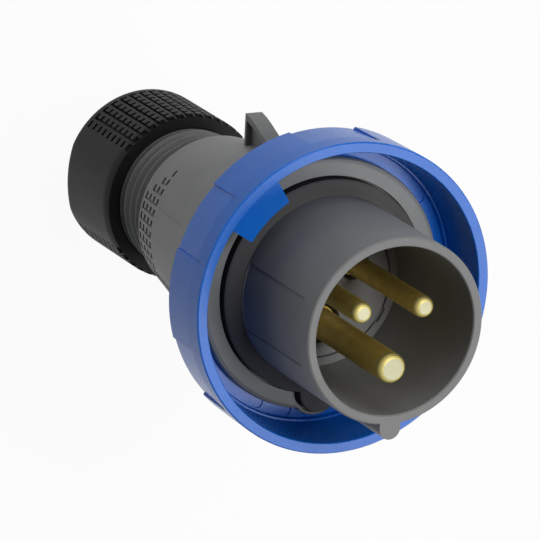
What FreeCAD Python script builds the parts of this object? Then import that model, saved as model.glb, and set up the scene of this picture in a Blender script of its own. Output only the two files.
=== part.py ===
import FreeCAD, Part
import math
import os

from FreeCAD import Vector

# Industrial pin and sleeve plug, two poles and earth, watertight pattern.
# Millimetres. The plug stands on its gland nut with its nose up.
# The origin is on the plug axis in the rear face of the nut.
# The guide key of the shroud points to -Y and the catch on the housing to +Y.

# Nose and contacts
shroud_r = 21.9
shroud_wall = 2.18
shroud_draft = 0.35
key_width = 5.2
key_proud = 3.55
pin_circle_r = 8.95
line_pin_r = 2.5
earth_pin_r = 3.5
line_pin_setback = 1.0
earth_pin_setback = 0.1
pin_root_extra = 0.4
pin_root_setback = 0.4
pin_shank_extra = 0.8
pin_shoulder_extra = 1.6
pin_shoulder_height = 2.1
pin_well_width = 1.3
pin_well_depth = 4.0
pin_collar_wall = 1.2
terminal_reach = 12.0
terminal_depth = 9.5
terminal_screw_r = 1.5

# Lengths of the main pieces along the axis
nut_length = 24.3
housing_length = 70.75
flange_thick = 2.35
rim_reach = 37.1
floor_raise = 0.3
floor_thick = 4.1
carrier_thick = 4.8
plate_thick = 2.4
barrier_thick = 1.8
barrier_hub_r = 2.4
retainer_screw_r = 1.25

# Locking ring
ring_room = 7.0
ring_wall = 2.56
ring_reach = 14.1
ring_plate = 1.9
ring_wall_draft = 1.7
pad_count = 6
pad_half_deg = 16.8
pad_depth = 0.95
pad_taper = 0.25
pad_front_band = 2.7
lug_half_deg = 13.0
lug_deg = 134.5
lug_depth = 6.6
lug_setback = 1.6
lug_thick = 4.4
ring_turn_deg = 40.0
stop_half_deg = 5.0

# Flange, gasket and neck
gasket_width = 3.5
flange_width = 4.5
gasket_height = 4.8
gasket_slope = 1.3
groove_depth = 1.5
groove_gap = 0.45
lobe_reach = 4.75
lobe_nose_r = 5.0
lobe_rim = 0.75
neck_inset = 2.5
neck_wall = 2.4
collar_proud = 2.3
collar_thick = 2.0
skirt_wall = 2.4
skirt_length = 11.0

# Housing
body_small_r = 17.0
body_step = 1.7
body_wall = 2.8
catch_width = 4.15
catch_top = 30.2
catch_rear = 34.1
side_groove_rear = 22.0
spigot_r = 16.0
spigot_length = 17.6
spigot_wall = 2.2
waist_r = 15.95
waist_length = 16.3
rib_height = 1.15
rib_half = 0.22
side_groove_width = 0.9
side_groove_depth = 0.3
grip_stroke = 1.7
grip_line = 0.4
grip_depth = 0.5
grip_pitch_deg = 7.1

# Cable gland
nut_r = 20.35
nut_floor = 2.8
nut_rear_round = 0.6
nut_side_taper = 0.6
nut_side_half_deg = 23.4
nut_grip_deg = 141.2
nut_grip_pitch_deg = 7.16
cable_bore_r = 5.6
seal_length = 10.4
slip_ring_thick = 4.4

# Clearances
slide_gap = 0.05
running_gap = 0.08
seat_gap = 0.1
loose_gap = 0.3
slip_floor_gap = 0.4
nut_mouth_gap = 0.15

# Radii worked out from the shroud outward
gasket_r = shroud_r + gasket_width
flange_r = gasket_r + flange_width
neck_r = flange_r - neck_inset
collar_r = neck_r + collar_proud
body_large_r = collar_r - body_step
ring_r = flange_r + ring_room

# Heights worked out from the lengths above
neck_top = nut_length + housing_length
collar_top = neck_top - ring_plate - 2 * seat_gap
flange_top = neck_top + flange_thick
groove_floor = flange_top - groove_depth
rim_top = flange_top + rim_reach
floor_top = flange_top + floor_raise
floor_under = floor_top - floor_thick
ring_rear = collar_top + seat_gap
ring_face = ring_rear + ring_plate
ring_front = ring_face + ring_reach
shroud_bore_r = shroud_r - shroud_wall
floor_bore_r = shroud_bore_r - shroud_draft
ledge_r = floor_bore_r - 1.85
skirt_r = neck_r - neck_wall - seat_gap
skirt_bore_r = skirt_r - skirt_wall
carrier_rear = floor_under - carrier_thick
plate_rear = carrier_rear - plate_thick
spigot_end = nut_length - spigot_length - 0.2
seal_top = nut_floor + slip_floor_gap + slip_ring_thick + seal_length
nut_mouth_r = body_small_r + nut_mouth_gap
ring_bore_r = neck_r + running_gap
gland_bore_r = spigot_r - spigot_wall

pin_degs = {"line": 150.0, "neutral": 30.0, "earth": 270.0}
screw_degs = (90.0, 210.0, 330.0)

os.makedirs("parts", exist_ok=True)


def at(r, deg, z):
    a = math.radians(deg)
    return Vector(r * math.cos(a), r * math.sin(a), z)


def turned(points):
    # A closed outline of radius and height pairs, spun about the plug axis.
    corners = [Vector(r, 0, z) for r, z in points]
    wire = Part.makePolygon(corners + [corners[0]])
    return Part.Face(wire).revolve(Vector(0, 0, 0), Vector(0, 0, 1), 360)


def rod(r, z0, z1, x=0.0, y=0.0):
    return Part.makeCylinder(r, z1 - z0, Vector(x, y, z0))


def tube(r_out, r_in, z0, z1):
    return rod(r_out, z0, z1).cut(rod(r_in, z0 - 1, z1 + 1))


def sector(r_in, r_out, z0, z1, deg0, deg1):
    body = Part.makeCylinder(r_out, z1 - z0, Vector(0, 0, z0), Vector(0, 0, 1), deg1 - deg0)
    body = body.cut(rod(r_in, z0 - 1, z1 + 1))
    body.rotate(Vector(0, 0, 0), Vector(0, 0, 1), deg0)
    return body


def block(x0, x1, y0, y1, z0, z1):
    return Part.makeBox(x1 - x0, y1 - y0, z1 - z0, Vector(x0, y0, z0))


def spin(shape, deg):
    copy = shape.copy()
    copy.rotate(Vector(0, 0, 0), Vector(0, 0, 1), deg)
    return copy


def joined(shapes):
    return shapes[0].multiFuse(shapes[1:]).removeSplitter()


def body_r(z):
    # Outside radius of the tapered housing at a height.
    share = (z - nut_length) / (collar_top - collar_thick - nut_length)
    return body_small_r + (body_large_r - body_small_r) * share


def key_bar(z0, z1, grow):
    # The guide key: a rib with a round nose.
    half = key_width / 2 + grow
    tip = shroud_r + key_proud + grow
    bar = block(-half, half, -tip + half, -shroud_r + 1.2, z0, z1)
    return bar.fuse(rod(half, z0, z1, 0, -tip + half))


def key_lobe(r_tip, r_nose, z0, z1, edge):
    # A round bulge on a ring that lets it pass around the key.
    side = [(r_nose, z0), (r_nose, z1 - edge), (r_nose - 0.3 * edge, z1 - 0.3 * edge), (r_nose - edge, z1)]
    nose = turned([(0, z0)] + side + [(0, z1)])
    nose.translate(Vector(0, r_nose - r_tip, 0))
    corners = [Vector(r, r_nose - r_tip, z) for r, z in side]
    corners += [Vector(-r, r_nose - r_tip, z) for r, z in reversed(side)]
    web = Part.Face(Part.makePolygon(corners + [corners[0]]))
    web = web.extrude(Vector(0, r_tip - r_nose - shroud_r + 2, 0))
    return nose.fuse(web)


def flange_disc():
    # The flange in front of the ring, with a rounded outer edge.
    ring = turned([
        (skirt_bore_r, neck_top),
        (flange_r, neck_top),
        (flange_r, flange_top - 1.0),
        (flange_r - 0.3, flange_top - 0.3),
        (flange_r - 1.0, flange_top),
        (skirt_bore_r, flange_top),
    ])
    tip = gasket_r + lobe_reach + groove_gap + lobe_rim
    lobe = key_lobe(tip, lobe_nose_r + groove_gap + lobe_rim, neck_top, flange_top, 0.35)
    return ring.fuse(lobe)


def front_shroud():
    # The nose tube with its key, its flange and the skirt that plugs into the housing.
    tube_wall = turned([
        (floor_bore_r, floor_top),
        (shroud_bore_r, rim_top - 0.35),
        (shroud_bore_r + 0.25, rim_top),
        (shroud_r - 0.35, rim_top),
        (shroud_r, rim_top - 0.35),
        (shroud_r, floor_under),
        (ledge_r, floor_under),
        (ledge_r, floor_top),
    ])
    key = key_bar(floor_under, rim_top, 0)
    skirt = tube(skirt_r, skirt_bore_r, neck_top - skirt_length, neck_top + 0.5)
    floor_ring = tube(skirt_r, ledge_r, floor_under, neck_top)
    flange = flange_disc()
    groove_r = gasket_r + groove_gap
    groove_nose_r = lobe_nose_r + groove_gap
    groove = rod(groove_r, groove_floor, flange_top + 1)
    groove = groove.fuse(key_lobe(groove_r + lobe_reach, groove_nose_r, groove_floor, flange_top + 2, 0.5))
    flange = flange.cut(groove)
    shell = joined([tube_wall, flange, floor_ring, skirt])
    key_face = key.common(rod(shroud_r + key_proud + 1, floor_under, rim_top))
    shell = shell.fuse(key_face)
    shell = shell.cut(rod(ledge_r, floor_under - 1, floor_top + 1))
    inner = turned([(0, floor_top), (floor_bore_r, floor_top), (shroud_bore_r, rim_top), (0, rim_top)])
    shell = shell.cut(inner)
    seal_cut = tube(skirt_r + 1, skirt_r - 1.3, seal_height() - 1.0, seal_height() + 1.0)
    shell = shell.cut(seal_cut)
    for deg in screw_degs:
        p = at(screw_circle_r(), deg, floor_under - 0.1)
        shell = shell.cut(Part.makeCylinder(retainer_screw_r + slide_gap, 2.6, p))
    shell = shell.cut(rating_panel())
    notch = sector(ledge_r - 0.5, ledge_r + 0.55, floor_top - 1.0, floor_top + 1, 325, 337)
    shell = shell.cut(notch)
    for k in range(4):
        shell = shell.fuse(snap_nose(45 + 90 * k, 0))
    return shell.removeSplitter()


def seal_height():
    return neck_top - 3.4


def screw_circle_r():
    return (ledge_r + skirt_bore_r) / 2 - 0.2


def rating_panel():
    # A shallow plain panel moulded into the left side of the shroud.
    z0 = groove_floor + gasket_height + 0.3
    z1 = rim_top - 5.2
    return sector(shroud_r - 0.25, shroud_r + 1, z0, z1, 158.5, 201.5)


def snap_nose(deg, grow):
    # A hook on the skirt that locks in a pocket of the housing.
    z0 = neck_top - skirt_length + 0.6
    nose = turned([
        (skirt_r - 1.0, z0 - grow),
        (skirt_r + 0.2 + grow, z0 - grow),
        (skirt_r + 0.6 + grow, z0 + 1.2),
        (skirt_r + 0.6 + grow, z0 + 2.2 + grow),
        (skirt_r - 1.0, z0 + 2.2 + grow),
    ])
    window = sector(skirt_r - 2, skirt_r + 2, z0 - 2, z0 + 4, deg - 9 - grow, deg + 9 + grow)
    return nose.common(window)


def face_gasket():
    # The flat rubber ring at the foot of the shroud, thicker at its inner edge.
    base = groove_floor
    top = base + gasket_height
    ring = turned([
        (shroud_r + slide_gap, base),
        (gasket_r, base),
        (gasket_r, top - gasket_slope - 0.4),
        (gasket_r - 0.4, top - gasket_slope),
        (shroud_r + 0.9, top - 0.1),
        (shroud_r + slide_gap, top),
    ])
    lobe = key_lobe(gasket_r + lobe_reach, lobe_nose_r, base, top - gasket_slope, 0.5)
    shape = ring.fuse(lobe)
    shape = shape.cut(rod(shroud_r + slide_gap, base - 1, top + 1))
    return shape.cut(key_bar(base - 1, top + 1, slide_gap)).removeSplitter()


def pad_cut(deg):
    # A hollow between two grip pads, as round as the ring, that runs out at its front.
    near = ring_front - pad_front_band
    hollow = turned([
        (ring_r - pad_depth, ring_rear - 1),
        (ring_r + 1, ring_rear - 1),
        (ring_r + 1, near),
        (ring_r + 0.02, near),
        (ring_r - 0.28, near - 2.2),
    ])
    half_deg = 180.0 / pad_count - pad_half_deg
    slot = sector(ring_r - 4, ring_r + 4, ring_rear - 2, ring_front, -half_deg, half_deg)
    return spin(hollow.common(slot), deg)


def locking_ring():
    # The blue bayonet ring, a plate on the neck of the housing with an outer wall.
    mouth_r = ring_r - ring_wall
    foot_r = mouth_r - ring_wall_draft
    body = turned([
        (ring_bore_r, ring_rear),
        (ring_r - pad_taper - 0.4, ring_rear),
        (ring_r - pad_taper, ring_rear + 0.4),
        (ring_r, ring_front - pad_front_band),
        (ring_r, ring_front - 0.3),
        (ring_r - 0.3, ring_front),
        (mouth_r + 0.2, ring_front),
        (mouth_r, ring_front - 0.3),
        (foot_r + 0.5, ring_face + 1.3),
        (foot_r + 0.1, ring_face + 1.25),
        (foot_r - 0.2, ring_face),
        (ring_bore_r, ring_face),
    ])
    for k in range(pad_count):
        body = body.cut(pad_cut(30.0 + 360.0 / pad_count * k))
    for k in range(2):
        body = body.fuse(bayonet_lug(lug_deg + 180.0 * k))
        body = body.cut(stop_slot(180.0 * k))
    for deg0, deg1 in ((33, 86), (214, 246.5), (248.5, 261)):
        body = body.cut(ring_panel(deg0, deg1))
    return body.removeSplitter()


def bayonet_lug(mid):
    # A lug on the inside of the ring, with a cam face on its rear.
    top = ring_front - lug_setback
    rear = top - lug_thick
    r_in = ring_r - ring_wall - lug_depth
    lug = sector(r_in, ring_r - 1.5, rear, top, mid - lug_half_deg, mid + lug_half_deg)
    width = 2 * r_in * math.sin(math.radians(lug_half_deg)) + 8
    ramp = Part.makeBox(2 * lug_depth, width, 3, Vector(r_in - 3, -width / 2, -3))
    ramp.rotate(Vector(r_in, 0, 0), Vector(1, 0, 0), 7)
    ramp.translate(Vector(0, 0, rear + 0.75))
    return lug.cut(spin(ramp, mid))


def ring_panel(deg0, deg1):
    # A plain recess in the inner face of the ring, with round ends.
    mid_r = (flange_r + ring_r - ring_wall - ring_wall_draft) / 2 - 0.35
    half = 1.35
    z0 = ring_face - 0.3
    strip = sector(mid_r - half, mid_r + half, z0, ring_face + 1, deg0 + 2.4, deg1 - 2.4)
    a = at(mid_r, deg0 + 2.4, 0)
    b = at(mid_r, deg1 - 2.4, 0)
    first_end = rod(half, z0, ring_face + 1, a.x, a.y)
    last_end = rod(half, z0, ring_face + 1, b.x, b.y)
    return joined([strip, first_end, last_end])


def stop_slot(deg):
    # The slot that a peg of the housing runs in, which ends the turn of the ring.
    first = deg - ring_turn_deg - stop_half_deg - 1
    last = deg + stop_half_deg + 1
    return sector(ring_bore_r - 1, ring_bore_r + 1.5, ring_rear - 1, ring_rear + 1.3, first, last)


def stop_peg(deg):
    # A peg on the collar of the housing that the ring comes to rest against.
    first = deg - stop_half_deg
    last = deg + stop_half_deg
    return sector(neck_r - 1.0, ring_bore_r + 1.2, collar_top - 0.5, ring_rear + 1.1, first, last)


def grip_waist():
    # The narrow waist behind the cone, with three thin ribs around it.
    z0 = nut_length
    outline = [(body_r(z0) + 4, z0 + 0.6), (waist_r + 0.3, z0 + 0.6)]
    for z, rise in ((2.7, 0.0), (5.7, 0.0), (9.4, 0.3)):
        top = waist_r + rib_height + rise
        outline += [
            (top - rib_height, z0 + z - 0.9),
            (top - 0.1, z0 + z - rib_half),
            (top, z0 + z),
            (top - 0.1, z0 + z + rib_half),
            (top - rib_height, z0 + z + 0.8),
        ]
    outline += [
        (waist_r + 0.5, z0 + 11.2),
        (waist_r + 1.6, z0 + 12.2),
        (body_r(z0 + waist_length), z0 + waist_length),
        (body_r(z0 + waist_length) + 4, z0 + waist_length),
    ]
    waist = turned(outline)
    waist.translate(Vector(0, 0.2, 0))
    return waist


def cone_slot(z0, z1, y0, y1, deep):
    # A slot of even depth along the outside of the cone, at the +X side.
    corners = [
        Vector(body_r(z0) - deep, y0, z0),
        Vector(body_r(z0) + 2, y0, z0),
        Vector(body_r(z1) + 2, y0, z1),
        Vector(body_r(z1) - deep, y0, z1),
    ]
    return Part.Face(Part.makePolygon(corners + [corners[0]])).extrude(Vector(0, y1 - y0, 0))


def grip_comb(first_col, side):
    # One row of the grip: short pockets joined by a thin slot at one end.
    half = grip_stroke / 2
    heights = [nut_length + 17.7 + 2.77 * col for col in range(first_col, 4)]
    parts = [cone_slot(z - 0.55, z + 0.55, -half, half, grip_depth) for z in heights]
    if first_col < 3:
        edge = half if side > 0 else grip_line - half
        ends = (heights[0] - 0.55, heights[-1] + 0.55)
        parts.append(cone_slot(ends[0], ends[1], edge - grip_line, edge, grip_depth - 0.05))
    return joined(parts) if len(parts) > 1 else parts[0]


def grip_combs():
    # Rows of the comb pattern around each side of the cone.
    combs = []
    for row in range(13):
        deg = 180 + grip_pitch_deg * (row - 6)
        first_col = max(0, 3 - row)
        combs.append(spin(grip_comb(first_col, 1), deg))
        combs.append(spin(grip_comb(first_col, -1), 180 - deg))
    return combs


def catch_tab():
    # The lid catch: a ramp with a square rear face, hollowed from both sides.
    z0 = nut_length + catch_rear
    outline = [
        (body_r(z0) - 1.6, z0),
        (catch_top, z0),
        (catch_top, z0 + 0.35),
        (catch_top - 0.55, z0 + 2.9),
        (catch_top - 1.4, z0 + 5.4),
        (catch_top - 2.3, z0 + 7.6),
        (catch_top - 3.3, z0 + 10.2),
        (catch_top - 4.5, z0 + 13.0),
        (catch_top - 5.6, z0 + 15.2),
        (body_r(z0 + 15.2) - 1.6, z0 + 15.2),
    ]
    half = catch_width / 2
    corners = [Vector(-half, y, z) for y, z in outline]
    wedge = Part.Face(Part.makePolygon(corners + [corners[0]])).extrude(Vector(catch_width, 0, 0))
    inner = [
        (body_r(z0) - 0.4, z0 + 0.8),
        (catch_top - 1.6, z0 + 0.8),
        (catch_top - 2.0, z0 + 2.6),
        (catch_top - 2.9, z0 + 5.2),
        (catch_top - 3.9, z0 + 7.6),
        (catch_top - 5.2, z0 + 10.6),
        (body_r(z0 + 10.6) - 0.4, z0 + 10.6),
    ]
    for x in (-half - 1, 0.65):
        corners = [Vector(x, y, z) for y, z in inner]
        hollow = Part.Face(Part.makePolygon(corners + [corners[0]]))
        wedge = wedge.cut(hollow.extrude(Vector(half + 0.35, 0, 0)))
    return wedge


def side_groove(deg):
    # A narrow groove along the lower side of the housing.
    z0 = nut_length + side_groove_rear
    z1 = collar_top - collar_thick - 4
    half = side_groove_width / 2
    return spin(cone_slot(z0, z1, -half, half, side_groove_depth), deg)


def handle_housing():
    # The hollow tapered handle, from the threaded spigot to the neck for the ring.
    z_stop = neck_top - skirt_length - loose_gap
    cone_top = collar_top - collar_thick
    seal_stop = seal_top + 2.2
    waist_end = nut_length + waist_length
    inner_small = waist_r - body_wall + 0.4
    inner_waist = waist_r - body_wall + 1.2
    inner_mid = body_r(waist_end) - body_wall
    inner_large = body_r(z_stop - 4) - body_wall
    stop_r = cable_bore_r + 3
    outline = [
        (gland_bore_r, spigot_end),
        (spigot_r - 0.5, spigot_end),
        (spigot_r, spigot_end + 0.5),
        (spigot_r, nut_length - 2.6),
        (body_small_r - 0.45, nut_length - 1.2),
        (body_small_r - 0.05, nut_length),
        (body_large_r, cone_top),
        (collar_r - 0.4, cone_top + 0.5),
        (collar_r, cone_top + 0.9),
        (collar_r, collar_top),
        (neck_r, collar_top),
        (neck_r, neck_top),
        (neck_r - neck_wall, neck_top),
        (neck_r - neck_wall, z_stop),
        (inner_large, z_stop - 4),
        (inner_mid, waist_end),
        (inner_waist, waist_end - 4.6),
        (inner_small, seal_stop + 4),
        (stop_r, seal_stop),
        (stop_r, seal_top),
        (gland_bore_r, seal_top),
    ]
    body = turned(outline)
    body = body.cut(grip_waist())
    tab = catch_tab().cut(turned([
        (0, waist_end),
        (inner_mid, waist_end),
        (inner_large, z_stop - 4),
        (0, z_stop - 4),
    ]))
    body = body.fuse(tab)
    for deg in (207, 213, 327, 333):
        body = body.cut(side_groove(deg))
    body = body.cut(Part.makeCompound(grip_combs()))
    for k in range(4):
        body = body.cut(snap_nose(45 + 90 * k, 0.15))
    for k in range(2):
        body = body.fuse(stop_peg(180.0 * k))
    return body.removeSplitter()


def body_seal():
    # The round rubber ring in the groove of the skirt.
    cord_r = (1.3 + seat_gap) / 2 - 0.02
    return Part.makeTorus(skirt_r - 1.3 + cord_r + 0.01, cord_r, Vector(0, 0, seal_height()))


def pin_numbers(name):
    # Radius of the pin, of its shoulder and of its rear shank.
    r = earth_pin_r if name == "earth" else line_pin_r
    return r, r + pin_shoulder_extra, r + pin_shank_extra


def contact_carrier():
    # The insulating block that the pins stand in, with a collar around each pin.
    boss = turned([
        (0, floor_under - 1),
        (ledge_r - 0.2, floor_under - 1),
        (ledge_r - 0.2, floor_top - 0.4),
        (ledge_r - 0.5, floor_top - 0.1),
        (0, floor_top - 0.1),
    ])
    body = rod(skirt_bore_r - 0.2, carrier_rear, floor_under).fuse(boss)
    well_floor = floor_top - pin_well_depth
    collar_top_z = floor_top + 0.4
    for name, deg in pin_degs.items():
        r, shoulder, shank = pin_numbers(name)
        root = r + pin_root_extra
        well = r + pin_well_width
        seat_top = carrier_rear + pin_shoulder_height + seat_gap
        p = at(pin_circle_r, deg, 0)
        body = body.cut(rod(root + slide_gap, carrier_rear - 1, floor_top + 1, p.x, p.y))
        body = body.cut(rod(shoulder + slide_gap, carrier_rear - 1, seat_top, p.x, p.y))
        body = body.cut(rod(well, well_floor, floor_top + 1, p.x, p.y))
        collar = rod(well + pin_collar_wall, floor_top - 0.1, collar_top_z, p.x, p.y)
        body = body.fuse(collar.cut(rod(well, well_floor, floor_top + 1, p.x, p.y)))
    for deg in screw_degs:
        p = at(screw_circle_r(), deg, carrier_rear - 1)
        body = body.cut(Part.makeCylinder(retainer_screw_r + 0.2, carrier_thick + 2, p))
    return body.removeSplitter()


def pin_retainer():
    # The plate behind the carrier, with a wall between each two terminals.
    body = rod(skirt_bore_r - 0.3, plate_rear, carrier_rear)
    rear = plate_rear - terminal_reach - 1
    for deg in screw_degs:
        half = barrier_thick / 2
        wall = block(0, screw_circle_r() - 4, -half, half, rear, plate_rear + 0.5)
        body = body.fuse(spin(wall, deg))
    body = body.fuse(rod(barrier_hub_r, rear, plate_rear + 0.5))
    for name, deg in pin_degs.items():
        r, shoulder, shank = pin_numbers(name)
        p = at(pin_circle_r, deg, 0)
        body = body.cut(rod(shank + slide_gap, rear - 1, carrier_rear + 1, p.x, p.y))
    for deg in screw_degs:
        p = at(screw_circle_r(), deg, plate_rear - 1)
        body = body.cut(Part.makeCylinder(retainer_screw_r + 0.2, plate_thick + 2, p))
    return body.removeSplitter()


def contact_pin(name):
    # A turned pin with a shoulder, a rear hole for the wire and a hole for its screw.
    r, shoulder, shank = pin_numbers(name)
    deg = pin_degs[name]
    tip = rim_top - (earth_pin_setback if name == "earth" else line_pin_setback)
    tail = plate_rear - terminal_reach
    shoulder_top = carrier_rear + pin_shoulder_height
    root_top = floor_top - pin_root_setback
    body = turned([
        (0, tail),
        (shank - 0.4, tail),
        (shank, tail + 0.4),
        (shank, carrier_rear),
        (shoulder, carrier_rear),
        (shoulder, shoulder_top),
        (r + pin_root_extra, shoulder_top),
        (r + pin_root_extra, root_top),
        (r, root_top),
        (r, tip - 1.5),
        (r - 0.1, tip - 0.9),
        (r - 0.38, tip - 0.38),
        (r - 0.75, tip - 0.08),
        (r - 1.05, tip),
        (0, tip),
    ])
    body = body.cut(rod(shank - 1.5, tail - 1, tail + terminal_depth))
    hole_z = tail + terminal_depth / 2
    hole = Part.makeCylinder(terminal_screw_r, shank + 2, Vector(0, 0, hole_z), Vector(1, 0, 0))
    body = body.cut(hole)
    body.translate(Vector(pin_circle_r, 0, 0))
    return spin(body, deg)


def terminal_screw(name):
    # The clamping screw that stands out sideways from the rear of a pin.
    r, shoulder, shank = pin_numbers(name)
    z = plate_rear - terminal_reach + terminal_depth / 2
    axis = Vector(1, 0, 0)
    stem = Part.makeCylinder(terminal_screw_r - slide_gap, shank + 0.3, Vector(0.4, 0, z), axis)
    head = Part.makeCylinder(terminal_screw_r + 0.8, 1.7, Vector(shank + slide_gap, 0, z), axis)
    slot = block(shank + 0.95, shank + 3, -3, 3, z - 0.35, z + 0.35)
    body = stem.fuse(head).cut(slot)
    body.translate(Vector(pin_circle_r, 0, 0))
    return spin(body.removeSplitter(), pin_degs[name])


def pin_seal(name):
    # A small rubber washer around the pin, down in its collar.
    r, shoulder, shank = pin_numbers(name)
    p = at(pin_circle_r, pin_degs[name], 0)
    z0 = floor_top - pin_well_depth
    ring = rod(r + pin_well_width - slide_gap, z0, z0 + 1.1, p.x, p.y)
    return ring.cut(rod(r + pin_root_extra + 0.02, z0 - 1, z0 + 2, p.x, p.y))


def retainer_screw(deg):
    # A slotted screw that holds the retainer and the carrier against the shroud.
    p = at(screw_circle_r(), deg, plate_rear)
    stem = Part.makeCylinder(retainer_screw_r, plate_thick + carrier_thick + 2.3, p)
    head = Part.makeCylinder(retainer_screw_r + 0.9, 1.7, Vector(p.x, p.y, plate_rear - 1.7))
    slot = block(p.x - 3, p.x + 3, p.y - 0.3, p.y + 0.3, plate_rear - 3, plate_rear - 1.0)
    return stem.fuse(head).cut(slot).removeSplitter()


def gland_seal():
    # The thick rubber sleeve that is squeezed onto the cable.
    bottom = seal_top - seal_length
    return turned([
        (cable_bore_r, bottom + 0.4),
        (cable_bore_r + 0.4, bottom),
        (gland_bore_r - 0.6, bottom),
        (gland_bore_r - slide_gap, bottom + 0.5),
        (gland_bore_r - slide_gap, seal_top),
        (cable_bore_r + 0.4, seal_top),
        (cable_bore_r, seal_top - 0.4),
    ])


def slip_ring():
    # The hard washer between the nut and the rubber, so that the rubber isn't twisted.
    top = seal_top - seal_length - seat_gap
    return turned([
        (cable_bore_r + 1.6, top - 0.6),
        (cable_bore_r + 2.2, top),
        (gland_bore_r - 0.6, top),
        (gland_bore_r - 0.25, top - 0.4),
        (gland_bore_r - 0.25, top - slip_ring_thick),
        (cable_bore_r + 2.2, top - slip_ring_thick),
        (cable_bore_r + 1.6, top - slip_ring_thick + 0.6),
    ])


def nut_shell(rear_r):
    # The cap spun from its outline, with a given outside radius at the rear.
    arc = nut_rear_round
    outline = [(cable_bore_r + 3.6, 0.6), (cable_bore_r + 4.2, 0)]
    for k in range(5):
        a = math.radians(22.5 * k)
        outline.append((rear_r - arc + arc * math.sin(a), arc - arc * math.cos(a)))
    outline += [
        (nut_r, nut_length - 0.9),
        (nut_r - 0.5, nut_length),
        (nut_mouth_r, nut_length),
        (nut_mouth_r, nut_length - 2.9),
        (spigot_r + running_gap, nut_length - 4.2),
        (spigot_r + running_gap, nut_floor),
        (cable_bore_r + 3.6, nut_floor),
    ]
    return turned(outline)


def gland_nut():
    # The cap at the rear, smooth and tapered at its sides, grooved above and below.
    body = nut_shell(nut_r)
    for side in (0, 180):
        first = side - nut_side_half_deg
        last = side + nut_side_half_deg
        body = body.cut(sector(spigot_r + 2, nut_r + 2, -1, nut_length - 0.9, first, last))
    body = body.fuse(nut_shell(nut_r - nut_side_taper))
    for side in (1, -1):
        for k in range(15):
            deg = side * (nut_grip_deg - nut_grip_pitch_deg * k)
            groove = block(nut_r - 0.4, nut_r + 2, -0.35, 0.35, 1.6, nut_length - 0.7)
            body = body.cut(spin(groove, deg))
    return body.removeSplitter()


shapes = {
    "front_shroud": front_shroud(),
    "face_gasket": face_gasket(),
    "locking_ring": locking_ring(),
    "handle_housing": handle_housing(),
    "body_seal": body_seal(),
    "contact_carrier": contact_carrier(),
    "pin_retainer": pin_retainer(),
    "gland_seal": gland_seal(),
    "slip_ring": slip_ring(),
    "gland_nut": gland_nut(),
}
for name in pin_degs:
    shapes["pin_" + name] = contact_pin(name)
    shapes["terminal_screw_" + name] = terminal_screw(name)
    shapes["pin_seal_" + name] = pin_seal(name)
for number, deg in enumerate(screw_degs, 1):
    shapes["retainer_screw_%d" % number] = retainer_screw(deg)

for name, shape in shapes.items():
    if shape.ShapeType == "Compound" and len(shape.Solids) == 1:
        shape = shape.Solids[0]
    shape.exportStep("parts/" + name + ".step")
    print(name, shape.ShapeType, len(shape.Solids), shape.isValid(), round(shape.Volume, 1))
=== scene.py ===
import math

import bmesh
import bpy
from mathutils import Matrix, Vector


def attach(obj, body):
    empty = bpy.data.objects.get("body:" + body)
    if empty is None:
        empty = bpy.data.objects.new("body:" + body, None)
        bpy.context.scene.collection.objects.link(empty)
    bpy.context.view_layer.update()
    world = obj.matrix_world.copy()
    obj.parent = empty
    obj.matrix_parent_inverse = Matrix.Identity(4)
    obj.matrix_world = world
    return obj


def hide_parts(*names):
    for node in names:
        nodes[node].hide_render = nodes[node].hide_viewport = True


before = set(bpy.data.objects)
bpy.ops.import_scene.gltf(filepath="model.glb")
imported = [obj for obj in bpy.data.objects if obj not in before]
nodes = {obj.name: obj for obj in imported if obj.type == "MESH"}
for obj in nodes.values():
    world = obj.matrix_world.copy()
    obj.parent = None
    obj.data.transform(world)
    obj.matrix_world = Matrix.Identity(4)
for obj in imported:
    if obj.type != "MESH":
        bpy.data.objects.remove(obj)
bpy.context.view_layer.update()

# Watertight industrial plug, nose up on its gland nut. Metres throughout.

mm = 0.001
print("frame loaded,", len(nodes), "solids")


# Small helpers for shader trees

def newFinish(name):
    mat = bpy.data.materials.new(name)
    mat.use_nodes = True
    tree = mat.node_tree
    shader = tree.nodes["Principled BSDF"]
    place = tree.nodes.new("ShaderNodeTexCoord")
    return mat, tree, shader, place.outputs["Object"]


def mottle(tree, place, size, detail=2.0):
    # Soft noise whose blotches are about that size.
    noise = tree.nodes.new("ShaderNodeTexNoise")
    noise.inputs["Scale"].default_value = 1.0 / size
    noise.inputs["Detail"].default_value = detail
    tree.links.new(place, noise.inputs["Vector"])
    return noise.outputs["Fac"]


def feed(tree, value, socket):
    # Links a socket, or writes a plain number or colour.
    if isinstance(value, tuple):
        socket.default_value = (*value, 1)
    elif isinstance(value, (int, float)):
        socket.default_value = value
    else:
        tree.links.new(value, socket)


def reckon(tree, kind, a, b, clamp=False):
    # One step of arithmetic on sockets or plain numbers.
    node = tree.nodes.new("ShaderNodeMath")
    node.operation = kind
    node.use_clamp = clamp
    for socket, value in zip(node.inputs, (a, b)):
        feed(tree, value, socket)
    return node.outputs[0]


def vectorStep(tree, kind, *vectors):
    node = tree.nodes.new("ShaderNodeVectorMath")
    node.operation = kind
    for socket, vector in zip(node.inputs, vectors):
        tree.links.new(vector, socket)
    return node.outputs


def apart(tree, vector):
    # The X, Y and Z of a vector.
    split = tree.nodes.new("ShaderNodeSeparateXYZ")
    tree.links.new(vector, split.inputs[0])
    return [split.outputs[axis] for axis in "XYZ"]


def between(tree, value, ends):
    # 1 while the value lies between both ends, and 0 outside.
    low = reckon(tree, "GREATER_THAN", value, ends[0])
    high = reckon(tree, "LESS_THAN", value, ends[1])
    return reckon(tree, "MULTIPLY", low, high)


middle = (0.3, 0.7)  # where most of a noise lies


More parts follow.
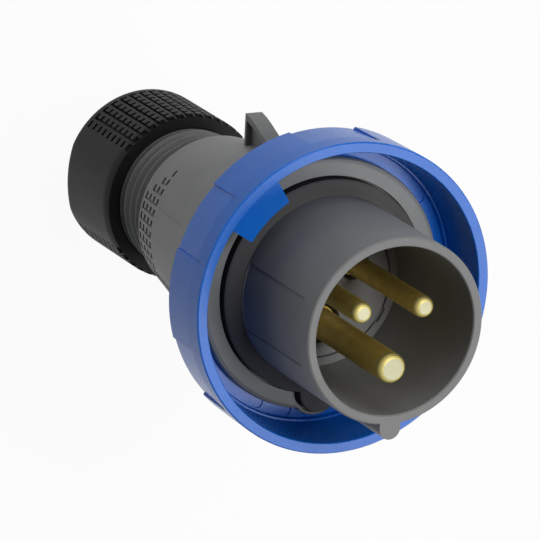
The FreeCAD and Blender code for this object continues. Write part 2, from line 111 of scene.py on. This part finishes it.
def spread(tree, value, low, high):
    # Stretches the middle of a noise over a range of values.
    node = tree.nodes.new("ShaderNodeMapRange")
    node.inputs["From Min"].default_value = middle[0]
    node.inputs["From Max"].default_value = middle[1]
    node.inputs["To Min"].default_value = low
    node.inputs["To Max"].default_value = high
    tree.links.new(value, node.inputs["Value"])
    return node.outputs["Result"]


def blend(tree, share, first, second, kind="RGBA"):
    # Mixes two colours or two directions.
    node = tree.nodes.new("ShaderNodeMix")
    node.data_type = kind
    tree.links.new(share, node.inputs["Factor"])
    feed(tree, first, node.inputs["A"])
    feed(tree, second, node.inputs["B"])
    return node.outputs["Result"]


def shade(colour, gain):
    return tuple(min(1.0, c * gain) for c in colour)


def grainBump(tree, shader, height, strength, depth, soft=None):
    # Fine grain, over softly rounded edges where they are given.
    bump = tree.nodes.new("ShaderNodeBump")
    bump.inputs["Strength"].default_value = strength
    bump.inputs["Distance"].default_value = depth
    tree.links.new(height, bump.inputs["Height"])
    if soft:
        tree.links.new(soft, bump.inputs["Normal"])
    tree.links.new(bump.outputs["Normal"], shader.inputs["Normal"])
    return bump.outputs["Normal"]


def roundEdges(tree, width):
    bevel = tree.nodes.new("ShaderNodeBevel")
    bevel.samples = 4  # enough for edges this small
    bevel.inputs["Radius"].default_value = width
    return bevel.outputs["Normal"]


def trueNormal(tree):
    return tree.nodes.new("ShaderNodeNewGeometry").outputs["Normal"]


# Edge rounding, and edges painted lighter: partly wear, partly a painted highlight where crests
# and lips catch the light.
wearAndHighlight = {
    "edge": 0.12 * mm,  # how far the rounding of an edge reaches
    "lighter": 1.22,
    "gain": 2.2,
}


def edgeShare(tree, soft):
    # 0 on flat faces, rising to 1 where the rounded normal leaves the true one.
    dot = vectorStep(tree, "DOT_PRODUCT", soft, trueNormal(tree))["Value"]
    off = reckon(tree, "SUBTRACT", 1.0, dot)
    return reckon(tree, "MULTIPLY", off, wearAndHighlight["gain"], clamp=True)


# Finishes of the plastic and rubber pieces

plasticLooks = {
    "housingGrey": {
        "colour": (0.205, 0.208, 0.210),
        "rough": 0.52,
        "roughVary": 0.05,
        "gloss": 0.18,
        "grain": 0.32 * mm,
        "relief": 0.012 * mm,
        # Strongest edge lightening: a painted highlight on the rib crests as well as wear.
        "wornAndLit": 2.2,
    },
    "shroudGrey": {
        "colour": (0.203, 0.206, 0.204),
        "rough": 0.45,
        "roughVary": 0.04,
        "gloss": 0.20,
        "grain": 0.30 * mm,
        "relief": 0.010 * mm,
        "wornAndLit": 0.6,
    },
    "carrierGrey": {
        "colour": (0.232, 0.233, 0.236),
        "rough": 0.45,
        "roughVary": 0.04,
        "gloss": 0.24,
        "grain": 0.30 * mm,
        "relief": 0.010 * mm,
        "wornAndLit": 0.6,
    },
    "ringBlue": {
        "colour": (0.004, 0.134, 0.600),
        "rough": 0.27,
        "roughVary": 0.010,
        "gloss": 0.23,
        "grain": 1.80 * mm,
        "relief": 0.010 * mm,
        "wornAndLit": 0.15,
    },
    "nutBlack": {
        "colour": (0.012, 0.012, 0.013),
        "rough": 0.50,
        "roughVary": 0.05,
        "gloss": 0.14,
        "grain": 0.35 * mm,
        "relief": 0.010 * mm,
        "wornAndLit": 0.8,
    },
    "gasketGrey": {
        "colour": (0.078, 0.077, 0.076),
        "rough": 0.75,
        "roughVary": 0.05,
        "gloss": 0.12,
        "grain": 0.22 * mm,
        "relief": 0.015 * mm,
        "wornAndLit": 0.4,
    },
}
moulding = {
    "blotch": 9 * mm,
    "blotchDetail": 3.0,
    "darker": 0.95,
    "paler": 1.05,
    "leastWornAndLit": 0.1,
    "bump": 0.6,
    "gasketSidesPaintedShade": 0.25,  # painted shade: how dark the gasket's walls are painted against its face
}


def plasticFinish(name):
    # Moulded plastic: soft mottling, fine grain, edges painted lighter (partly wear, partly a
    # painted highlight), and painted shade on the gasket's walls.
    look = plasticLooks[name]
    mat, tree, shader, place = newFinish(name)
    shader.inputs["Specular IOR Level"].default_value = look["gloss"]
    soft = roundEdges(tree, wearAndHighlight["edge"])
    cloud = mottle(tree, place, moulding["blotch"], moulding["blotchDetail"])
    fine = mottle(tree, place, look["grain"])
    darker = shade(look["colour"], moulding["darker"])
    paler = shade(look["colour"], moulding["paler"])
    colour = blend(tree, spread(tree, cloud, 0.0, 1.0), darker, paler)
    # Edges painted lighter in patches: partly wear, partly a painted highlight.
    patchy = spread(tree, cloud, moulding["leastWornAndLit"], look["wornAndLit"])
    rubbedAndLit = reckon(tree, "MULTIPLY", edgeShare(tree, soft), patchy)
    colour = blend(tree, rubbedAndLit, colour, shade(look["colour"], wearAndHighlight["lighter"]))
    # Painted shade: the gasket's walls face sideways and are painted darker than its upward
    # face.
    if name == "gasketGrey":
        upward = apart(tree, trueNormal(tree))[2]
        side = spread(tree, upward, 1.0, 0.0)
        colour = blend(tree, side, colour, shade(look["colour"], moulding["gasketSidesPaintedShade"]))
    if name == "housingGrey":
        line = partingLine(tree, place)
        colour = blend(tree, line, colour, shade(look["colour"], parting["shade"]))
    tree.links.new(colour, shader.inputs["Base Color"])
    least = look["rough"] - look["roughVary"]
    most = look["rough"] + look["roughVary"]
    tree.links.new(spread(tree, fine, least, most), shader.inputs["Roughness"])
    if name == "ringBlue":  # polished, so only broad ripples bend its light
        bump = grainBump(tree, shader, cloud, moulding["bump"], look["relief"])
        tree.links.new(gripRunOut(tree, place, bump), shader.inputs["Normal"])
    else:
        grainBump(tree, shader, fine, moulding["bump"], look["relief"], soft)
    return mat


runOut = {"heights": (103.5 * mm, 106.8 * mm), "outside": 34.6 * mm}


def gripRunOut(tree, place, bump):
    # The grip hollows of the ring run out softly toward its front band.
    x, y, z = apart(tree, place)
    flat = tree.nodes.new("ShaderNodeCombineXYZ")
    tree.links.new(x, flat.inputs["X"])
    tree.links.new(y, flat.inputs["Y"])
    reach = vectorStep(tree, "LENGTH", flat.outputs[0])["Value"]
    outward = vectorStep(tree, "NORMALIZE", flat.outputs[0])["Vector"]
    outside = reckon(tree, "GREATER_THAN", reach, runOut["outside"])
    share = reckon(tree, "MULTIPLY", between(tree, z, runOut["heights"]), outside)
    return blend(tree, share, bump, outward, "VECTOR")


parting = {
    "deg": 160.5,
    "heights": (52.0 * mm, 72.0 * mm),
    "wide": 0.16 * mm,
    "shade": 0.55,
}


def partingLine(tree, place):
    # 1 on the thin line that the mould left along each side of the housing.
    x, y, z = apart(tree, place)
    sideways = reckon(tree, "ABSOLUTE", x, 0.0)
    a = math.radians(180 - parting["deg"])
    across = reckon(tree, "MULTIPLY", sideways, math.sin(a))
    along = reckon(tree, "MULTIPLY", y, math.cos(a))
    off = reckon(tree, "ABSOLUTE", reckon(tree, "SUBTRACT", across, along), 0.0)
    line = reckon(tree, "LESS_THAN", off, parting["wide"] / 2)
    return reckon(tree, "MULTIPLY", line, between(tree, z, parting["heights"]))


# Finishes of the metal pieces

brassLook = {
    "colour": (0.64, 0.48, 0.12),
    "dull": (0.53, 0.39, 0.09),
    "edgeGain": 1.15,
    "rough": (0.48, 0.53),
    "blotch": 3 * mm,
    "blotchDetail": 3.0,
    "turning": 0.22 * mm,  # spacing of the rings that the lathe left
    "turningLong": (0.02, 0.02, 1.0),
    "bump": 0.15,
    "relief": 0.002 * mm,
}
pinTip = {
    "colour": (0.210, 0.202, 0.135),
    "rim": (0.45, 0.38, 0.135),
    "smoother": 0.08,
    "from": 132.6 * mm,
    "rimFrom": 131.8 * mm,
    "fade": 0.5 * mm,
    "edge": 0.45 * mm,
    "level": 0.98,  # how squarely a face must look along the pin
}


def above(tree, place, start):
    # 0 on a pin below that height, and 1 a little higher.
    lift = reckon(tree, "SUBTRACT", apart(tree, place)[2], start)
    return reckon(tree, "DIVIDE", lift, pinTip["fade"], clamp=True)


def tipShare(tree, place):
    # 1 on the flat end of each pin, rubbed pale by mating, and 0 elsewhere.
    upward = apart(tree, roundEdges(tree, pinTip["edge"]))[2]
    level = reckon(tree, "GREATER_THAN", upward, pinTip["level"])
    return reckon(tree, "MULTIPLY", above(tree, place, pinTip["from"]), level)


def brassFinish():
    # Turned brass, with the fine rings that the lathe leaves around each pin.
    look = brassLook
    mat, tree, shader, place = newFinish("contactBrass")
    shader.inputs["Metallic"].default_value = 1.0
    soft = roundEdges(tree, wearAndHighlight["edge"])
    cloud = mottle(tree, place, look["blotch"], look["blotchDetail"])
    tip = tipShare(tree, place)
    colour = blend(tree, spread(tree, cloud, 0.0, 1.0), look["dull"], look["colour"])
    # Edges painted lighter: partly wear, partly a painted highlight.
    colour = blend(tree, edgeShare(tree, soft), colour, shade(look["colour"], look["edgeGain"]))
    colour = blend(tree, above(tree, place, pinTip["rimFrom"]), colour, pinTip["rim"])
    colour = blend(tree, tip, colour, pinTip["colour"])
    tree.links.new(colour, shader.inputs["Base Color"])
    stretch = tree.nodes.new("ShaderNodeMapping")
    stretch.inputs["Scale"].default_value = look["turningLong"]
    tree.links.new(place, stretch.inputs["Vector"])
    rings = mottle(tree, stretch.outputs["Vector"], look["turning"], 1.0)
    less = reckon(tree, "MULTIPLY", tip, pinTip["smoother"])
    rough = reckon(tree, "SUBTRACT", spread(tree, rings, *look["rough"]), less)
    tree.links.new(rough, shader.inputs["Roughness"])
    grainBump(tree, shader, rings, look["bump"], look["relief"], soft)
    return mat


zincLook = {
    "dull": (0.50, 0.50, 0.52),
    "bright": (0.66, 0.66, 0.66),
    "rough": (0.30, 0.42),
    "blotch": 1.2 * mm,
    "blotchDetail": 3.0,
    "bump": 0.3,
    "relief": 0.006 * mm,
}


def zincFinish():
    # Zinc plating of the screws inside.
    look = zincLook
    mat, tree, shader, place = newFinish("screwZinc")
    shader.inputs["Metallic"].default_value = 1.0
    cloud = mottle(tree, place, look["blotch"], look["blotchDetail"])
    colour = blend(tree, spread(tree, cloud, 0.0, 1.0), look["dull"], look["bright"])
    tree.links.new(colour, shader.inputs["Base Color"])
    tree.links.new(spread(tree, cloud, *look["rough"]), shader.inputs["Roughness"])
    soft = roundEdges(tree, wearAndHighlight["edge"])
    grainBump(tree, shader, cloud, look["bump"], look["relief"], soft)
    return mat


finishes = {name: plasticFinish(name) for name in plasticLooks}
finishes["contactBrass"] = brassFinish()
finishes["screwZinc"] = zincFinish()

nodeFinish = {
    "front_shroud": "shroudGrey",
    "handle_housing": "housingGrey",
    "contact_carrier": "carrierGrey",
    "pin_retainer": "carrierGrey",
    "locking_ring": "ringBlue",
    "gland_nut": "nutBlack",
    "slip_ring": "nutBlack",
    "face_gasket": "gasketGrey",
    "body_seal": "gasketGrey",
    "gland_seal": "gasketGrey",
}


def finishFor(name):
    if name.startswith("pin_seal"):
        return "gasketGrey"
    if "screw" in name:
        return "screwZinc"
    return nodeFinish.get(name, "contactBrass")  # the rest are the three pins


for name, node in nodes.items():
    node.data.materials.clear()
    node.data.materials.append(finishes[finishFor(name)])
print("finishes set on the solids")


# Gland nut with its two zones of grip texture

nut = {
    "radius": 20.35 * mm,
    "length": 24.3 * mm,
    "rearRound": 0.6 * mm,
    "rearSteps": 6,
    "sideDrop": 0.57 * mm,  # how much flatter each smooth side is at the rear
    "sideHalf": 23.4,  # degrees from its middle to its edge
    "frontBevel": 0.9 * mm,
    "frontInset": 0.5 * mm,
    "mouthR": 17.15 * mm,
    "mouthDeep": 2.9 * mm,
    "threadR": 16.08 * mm,
    "threadTop": 20.1 * mm,
    "floor": 2.8 * mm,
    "holeR": 9.2 * mm,
    "holeEdge": 0.6 * mm,
    "columns": 15,
    "columnStep": 7.16,  # degrees around the nut, as the four below
    "firstLine": 33.84,
    "mirrorSum": 355.08,  # where a cut of the upper zone and its mirror image add up to
    "lineWide": (1.0, 1.7),
    "strokeLong": 5.2,
    "strokes": 9,
    "strokeStep": 2.63 * mm,
    "firstStroke": 2.4 * mm,
    "strokeWide": 0.9 * mm,
    "deep": (0.42 * mm, 0.85 * mm),
    "gainSlope": 1.6,  # how soon the grip deepens away from the sides
    "gainFrom": 0.45,
    "facet": 2.6,  # widest facet of the outside, in degrees
    "edge": 0.06 * mm,
}


def gripGain(pair, deg):
    # Small at the two sides and full above and below, as the mould opens.
    height = abs(math.sin(math.radians(deg)))
    share = min(1.0, max(0.0, nut["gainSlope"] * height - nut["gainFrom"]))
    return pair[0] + (pair[1] - pair[0]) * share


def gripZone():
    # The upper zone as strips around the nut: from, to and what lies there.
    start = nut["firstLine"]
    zone = [(start - gripGain(nut["lineWide"], start), start, "line")]
    for column in range(nut["columns"]):
        top = start + nut["columnStep"] * (column + 1)
        foot = top - nut["strokeLong"]
        last = column == nut["columns"] - 1
        end = top if last else top - gripGain(nut["lineWide"], top)
        zone.append((zone[-1][1], foot, "land"))
        zone.append((foot, end, "stroke"))
        if not last:
            zone.append((end, top, "line"))
    return zone


def nutAngles():
    # Cuts all around: the upper zone, its mirror image below and the smooth sides.
    upper = gripZone()
    total = nut["mirrorSum"]
    lower = [(total - after, total - deg, kind) for deg, after, kind in reversed(upper)]
    left = (upper[-1][1], lower[0][0], "land")
    right = (lower[-1][1], 360 + upper[0][0], "land")
    cuts = []
    for deg, after, kind in [*upper, left, *lower, right]:
        steps = max(1, round((after - deg) / nut["facet"]))
        cuts += [(deg + (after - deg) * s / steps, kind) for s in range(steps)]
    return cuts


def nutHeights():
    # Cuts along the nut: its rounded rear edge, then stroke and line in turn.
    heights = []
    for k in range(nut["rearSteps"] + 1):
        a = math.radians(90 / nut["rearSteps"] * k)
        heights.append((nut["rearRound"] * (1 - math.cos(a)), "edge"))
    for k in range(nut["strokes"]):
        mid = nut["firstStroke"] + nut["strokeStep"] * k
        heights.append((mid - nut["strokeWide"] / 2, "stroke"))
        if k < nut["strokes"] - 1:
            heights.append((mid + nut["strokeWide"] / 2, "line"))
    heights.append((nut["length"], "end"))
    return heights


def nutSkinR(z, deg):
    # Radius of the smooth outside, flatter toward the rear at the two sides.
    off = ((deg + 90) % 180 - 90) / nut["sideHalf"]
    straight = nut["length"] - nut["frontBevel"]
    flat = nut["sideDrop"] * max(0.0, 1 - off * off) * max(0.0, 1 - z / straight)
    r = nut["radius"] - flat
    if z < nut["rearRound"]:
        drop = nut["rearRound"] - z
        return r - nut["rearRound"] + math.sqrt(nut["rearRound"] ** 2 - drop ** 2)
    return r - max(0.0, z - straight) / nut["frontBevel"] * nut["frontInset"]


def glandNutCap():
    bm = bmesh.new()
    angles = nutAngles()
    heights = nutHeights()
    known = {}

    def vert(i, z, r):
        i %= len(angles)
        key = (i, round(z, 7), round(r, 7))
        if key not in known:
            a = math.radians(angles[i][0])
            known[key] = bm.verts.new((r * math.cos(a), r * math.sin(a), z))
        return known[key]

    def face(corners):
        # A face from its corners, which may meet where a wall runs out.
        loop = []
        for v in corners:
            if v not in loop:
                loop.append(v)
        if len(loop) > 2 and not bm.faces.get(loop):
            bm.faces.new(loop)

    def sunk(i, j):
        across = angles[i % len(angles)][1]
        along = heights[j][1]
        if across == "line":
            return along in ("stroke", "line")
        return across == "stroke" and along == "stroke"

    def cellR(i, j, z, at):
        # Radius of the cell between cuts i and i + 1, at the cut given.
        deg = angles[at % len(angles)][0]
        skin = nutSkinR(z, deg)
        if sunk(i, j):
            return min(skin, nut["radius"] - gripGain(nut["deep"], deg))
        return skin

    def corner(i, j, z, at):
        return vert(at, z, cellR(i, j, z, at))

    rows = len(heights) - 1
    for i in range(len(angles)):
        for j in range(rows):
            z0 = heights[j][0]
            z1 = heights[j + 1][0]
            lowLeft = corner(i, j, z0, i)
            lowRight = corner(i, j, z0, i + 1)
            highRight = corner(i, j, z1, i + 1)
            highLeft = corner(i, j, z1, i)
            face([lowLeft, lowRight, highRight, highLeft])
            if sunk(i, j) != sunk(i + 1, j):
                nextLow = corner(i + 1, j, z0, i + 1)
                nextHigh = corner(i + 1, j, z1, i + 1)
                face([lowRight, nextLow, nextHigh, highRight])
            if j + 1 < rows and sunk(i, j) != sunk(i, j + 1):
                overLeft = corner(i, j + 1, z1, i)
                overRight = corner(i, j + 1, z1, i + 1)
                face([highLeft, highRight, overRight, overLeft])

    # The inside as heights and radii, from the front face to the rear one
    inside = [
        (nut["length"], None),
        (nut["length"], nut["mouthR"]),
        (nut["length"] - nut["mouthDeep"], nut["mouthR"]),
        (nut["threadTop"], nut["threadR"]),
        (nut["floor"], nut["threadR"]),
        (nut["floor"], nut["holeR"]),
        (nut["holeEdge"], nut["holeR"]),
        (0.0, nut["holeR"] + nut["holeEdge"]),
        (0.0, None),
    ]
    for near, far in zip(inside, inside[1:]):
        for i in range(len(angles)):
            loop = []
            for k, (z, r) in ((i, near), (i + 1, near), (i + 1, far), (i, far)):
                loop.append(vert(k, z, cellR(k, 0, z, k) if r is None else r))
            face(loop)
    bmesh.ops.recalc_face_normals(bm, faces=bm.faces)
    mesh = bpy.data.meshes.new("glandNutCap")
    bm.to_mesh(mesh)
    bm.free()
    piece = bpy.data.objects.new("glandNutCap", mesh)
    bpy.context.scene.collection.objects.link(piece)
    return piece


def softEdges(piece, width, angle=35):
    # Small rounded edges that catch the light, and smooth faces between them.
    bevel = piece.modifiers.new("softEdges", "BEVEL")
    bevel.width = width
    bevel.segments = 2
    bevel.limit_method = "ANGLE"
    bevel.angle_limit = math.radians(angle)
    bevel.harden_normals = True
    piece.data.shade_smooth()


nutCap = glandNutCap()
nutCap.data.materials.append(finishes["nutBlack"])
softEdges(nutCap, nut["edge"])
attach(nutCap, "nut")
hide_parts("gland_nut")
print("gland nut cap made,", len(nutCap.data.polygons), "faces")


# Floor, light and camera

studio = {
    "floorHalf": 3.0,
    "floorDrop": 0.2 * mm,
    "floorPaint": (0.86, 0.86, 0.86),
    "floorRough": 0.9,
    "ambient": 0.086,
    "seen": 0.94,  # share of plain white that the floor shows
    "lampAim": (0, 0, 0.07),
}
softBoxes = {  # where each lamp stands, its width and its power in watts
    "upperBox": {"place": (0.05, 0.80, 0.35), "width": 0.50, "power": 1.25},
    "glossBox": {"place": (0.42, -0.26, 0.92), "width": 0.34, "power": 2.60},
    "frontBox": {"place": (0.10, 0.28, 0.95), "width": 0.36, "power": 4.40},
}
eye = {  # the camera of the photograph
    "place": (-0.645564, 0.425944, 1.340749),
    "turn": (-0.31865478, -0.45433601, 0.0567423),
    "lens": 427.754,
    "sensor": 36,
    "near": 0.05,
    "far": 20,
}


def seenRays(tree):
    # 1 for rays that see the backdrop: from the camera, by reflection or through glass.
    path = tree.nodes.new("ShaderNodeLightPath")
    seen = reckon(tree, "MAXIMUM", path.outputs["Is Camera Ray"], path.outputs["Is Glossy Ray"])
    return reckon(tree, "MAXIMUM", seen, path.outputs["Is Transmission Ray"])


def floorPaint():
    mat, tree, shader = newFinish("paleFloorPaint")[:3]
    feed(tree, studio["floorPaint"], shader.inputs["Base Color"])
    shader.inputs["Roughness"].default_value = studio["floorRough"]
    glow = tree.nodes.new("ShaderNodeEmission")
    mix = tree.nodes.new("ShaderNodeMixShader")
    share = reckon(tree, "MULTIPLY", seenRays(tree), studio["seen"])
    tree.links.new(share, mix.inputs["Fac"])
    tree.links.new(shader.outputs[0], mix.inputs[1])
    tree.links.new(glow.outputs[0], mix.inputs[2])
    tree.links.new(mix.outputs[0], tree.nodes["Material Output"].inputs["Surface"])
    return mat


def paleFloor():
    mesh = bpy.data.meshes.new("paleFloor")
    half = studio["floorHalf"]
    low = -studio["floorDrop"]
    corners = [(-half, -half, low), (half, -half, low), (half, half, low), (-half, half, low)]
    mesh.from_pydata(corners, [], [(0, 1, 2, 3)])
    floor = bpy.data.objects.new("paleFloor", mesh)
    bpy.context.scene.collection.objects.link(floor)
    floor.data.materials.append(floorPaint())


def paleWorld():
    world = bpy.data.worlds.new("paleRoom")
    world.use_nodes = True
    bpy.context.scene.world = world
    tree = world.node_tree
    back = tree.nodes["Background"]
    back.inputs["Color"].default_value = (1, 1, 1, 1)
    seen = seenRays(tree)
    unseen = reckon(tree, "SUBTRACT", 1.0, seen)
    dim = reckon(tree, "MULTIPLY", unseen, studio["ambient"])
    tree.links.new(reckon(tree, "ADD", seen, dim), back.inputs["Strength"])


def softBox(name, box):
    light = bpy.data.lights.new(name, "AREA")
    light.shape = "DISK"
    light.size = box["width"]
    light.energy = box["power"]
    lamp = bpy.data.objects.new(name, light)
    lamp.location = box["place"]
    aim = Vector(studio["lampAim"]) - Vector(box["place"])
    lamp.rotation_euler = aim.to_track_quat("-Z", "Y").to_euler()
    bpy.context.scene.collection.objects.link(lamp)


def photoCamera():
    data = bpy.data.cameras.new("photoCamera")
    data.lens = eye["lens"]
    data.sensor_width = eye["sensor"]
    data.clip_start = eye["near"]
    data.clip_end = eye["far"]
    camera = bpy.data.objects.new("photoCamera", data)
    camera.location = eye["place"]
    camera.rotation_euler = eye["turn"]
    bpy.context.scene.collection.objects.link(camera)
    bpy.context.scene.camera = camera


paleFloor()
paleWorld()
for name, box in softBoxes.items():
    softBox(name, box)
photoCamera()
bpy.context.scene.view_settings.view_transform = "Standard"
print("floor, light and camera set")
